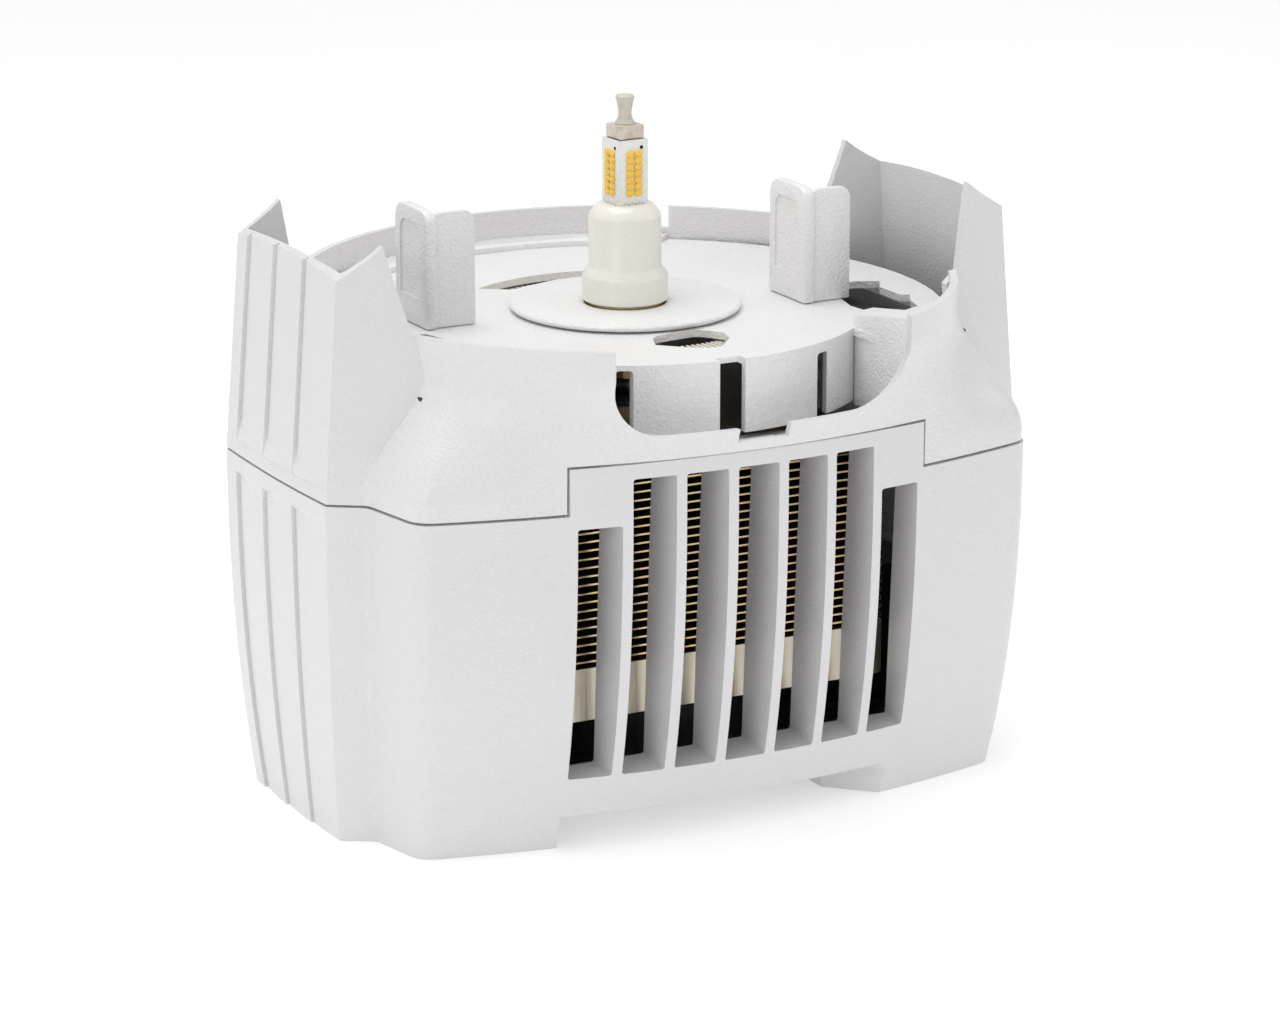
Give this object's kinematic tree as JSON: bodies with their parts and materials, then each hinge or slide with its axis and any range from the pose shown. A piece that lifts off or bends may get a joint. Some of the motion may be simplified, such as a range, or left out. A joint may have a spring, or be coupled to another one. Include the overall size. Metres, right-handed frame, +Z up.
{
  "type": "garage door opener power head",
  "caption": "Motor power head for a garage door: slotted two-part housing on feet, finned motor and planetary reduction inside, LED lamp and angle posts on a round deck.",
  "frame": {"origin": "centre of the bounding box seen from above, on the plane of the two feet; the motor and lamp axis stands 8.3 mm in front of it, at y = -8.3 mm", "axes": "+Z up along the motor and lamp axis, +X along the long side with the ribbed ends, the slotted grille faces -Y and the control panel faces +Y"},
  "size_m": [0.3184, 0.2564, 0.283],
  "materials": {
    "housing_paint": "off-white textured powder coat",
    "inner_grey": "mid grey moulded",
    "lamp_cream": "warm white, slightly satin",
    "champagne": "champagne anodised, brushed",
    "steel": "turned steel",
    "black": "black moulded",
    "copper": "varnished copper winding",
    "circuit_green": "solder resist",
    "led_board": "white solder resist with yellow LED chips",
    "brass": "spun brass",
    "nylon": "natural nylon",
    "button_red": "moulded orange-red"
  },
  "bodies": {
    "head": {"lower_housing": "housing_paint", "upper_housing": "housing_paint", "deck": "housing_paint", "guide_post_right": "housing_paint", "guide_post_left": "housing_paint", "lamp_plate": "housing_paint", "control_panel": "inner_grey", "terminal_block": "inner_grey", "cooling_barrel": "champagne", "lower_end_bell": "champagne", "upper_end_bell": "champagne", "lower_bearing": "steel", "upper_bearing": "steel", "ring_gear": "steel", "output_bearing": "steel", "chassis_plate": "steel", "capacitor": "steel", "housing_screw_1": "steel", "housing_screw_2": "steel", "housing_screw_3": "steel", "housing_screw_4": "steel", "gear_case": "black", "transformer": "black", "relay_1": "black", "relay_2": "black", "power_inlet": "black", "antenna_sleeve": "black", "stator": "copper", "control_board": "circuit_green", "lamp_socket": "brass"},
    "lamp": {"lamp_screw_base": "steel", "lamp_body": "lamp_cream", "led_column": "steel", "led_board_1": "led_board", "led_board_2": "led_board", "led_board_3": "led_board", "led_board_4": "led_board", "column_cap": "steel", "lamp_stem": "lamp_cream"},
    "rotor_shaft": {"rotor": "steel", "motor_shaft": "steel", "encoder_wheel": "black", "sun_gear": "steel"},
    "output_shaft": {"planet_carrier": "steel", "drive_sprocket": "steel", "sprocket_nut": "steel"},
    "planet_1": {"planet_gear_1": "nylon"},
    "planet_2": {"planet_gear_2": "nylon"},
    "planet_3": {"planet_gear_3": "nylon"},
    "learn_button": {"learn_button": "button_red"},
    "up_button": {"up_button": "black"},
    "down_button": {"down_button": "black"}
  },
  "joints": [
    {"name": "output_spin", "type": "hinge", "parent": "head", "child": "output_shaft", "pos_m": [0, -0.00834, 0.02], "axis": [0, 0, 1], "continuous": true},
    {"name": "rotor_spin", "type": "hinge", "parent": "head", "child": "rotor_shaft", "pos_m": [0, -0.00834, 0.1], "axis": [0, 0, 1], "continuous": true},
    {"name": "planet_1_spin", "type": "hinge", "parent": "output_shaft", "child": "planet_1", "pos_m": [0.01875, -0.00834, 0.0385], "axis": [0, 0, 1], "continuous": true},
    {"name": "planet_2_spin", "type": "hinge", "parent": "output_shaft", "child": "planet_2", "pos_m": [-0.00937, 0.00789, 0.0385], "axis": [0, 0, 1], "continuous": true},
    {"name": "planet_3_spin", "type": "hinge", "parent": "output_shaft", "child": "planet_3", "pos_m": [-0.00937, -0.02458, 0.0385], "axis": [0, 0, 1], "continuous": true},
    {"name": "learn_press", "type": "slide", "parent": "head", "child": "learn_button", "axis": [0, -1, 0], "range_m": [0, 0.0015], "stiffness_N_per_m": 400, "springref_m": -0.0005},
    {"name": "up_press", "type": "slide", "parent": "head", "child": "up_button", "axis": [0, -1, 0], "range_m": [0, 0.0015], "stiffness_N_per_m": 400, "springref_m": -0.0005},
    {"name": "down_press", "type": "slide", "parent": "head", "child": "down_button", "axis": [0, -1, 0], "range_m": [0, 0.0015], "stiffness_N_per_m": 400, "springref_m": -0.0005},
    {"name": "lamp_lift", "type": "slide", "parent": "head", "child": "lamp", "axis": [0, 0, 1], "range_m": [0, 0.09]}
  ],
  "couplings": [
    {"joint": "output_spin", "follows": "rotor_spin", "ratio": 0.2},
    {"joint": "planet_1_spin", "follows": "rotor_spin", "ratio": -0.53333},
    {"joint": "planet_2_spin", "follows": "rotor_spin", "ratio": -0.53333},
    {"joint": "planet_3_spin", "follows": "rotor_spin", "ratio": -0.53333}
  ]
}
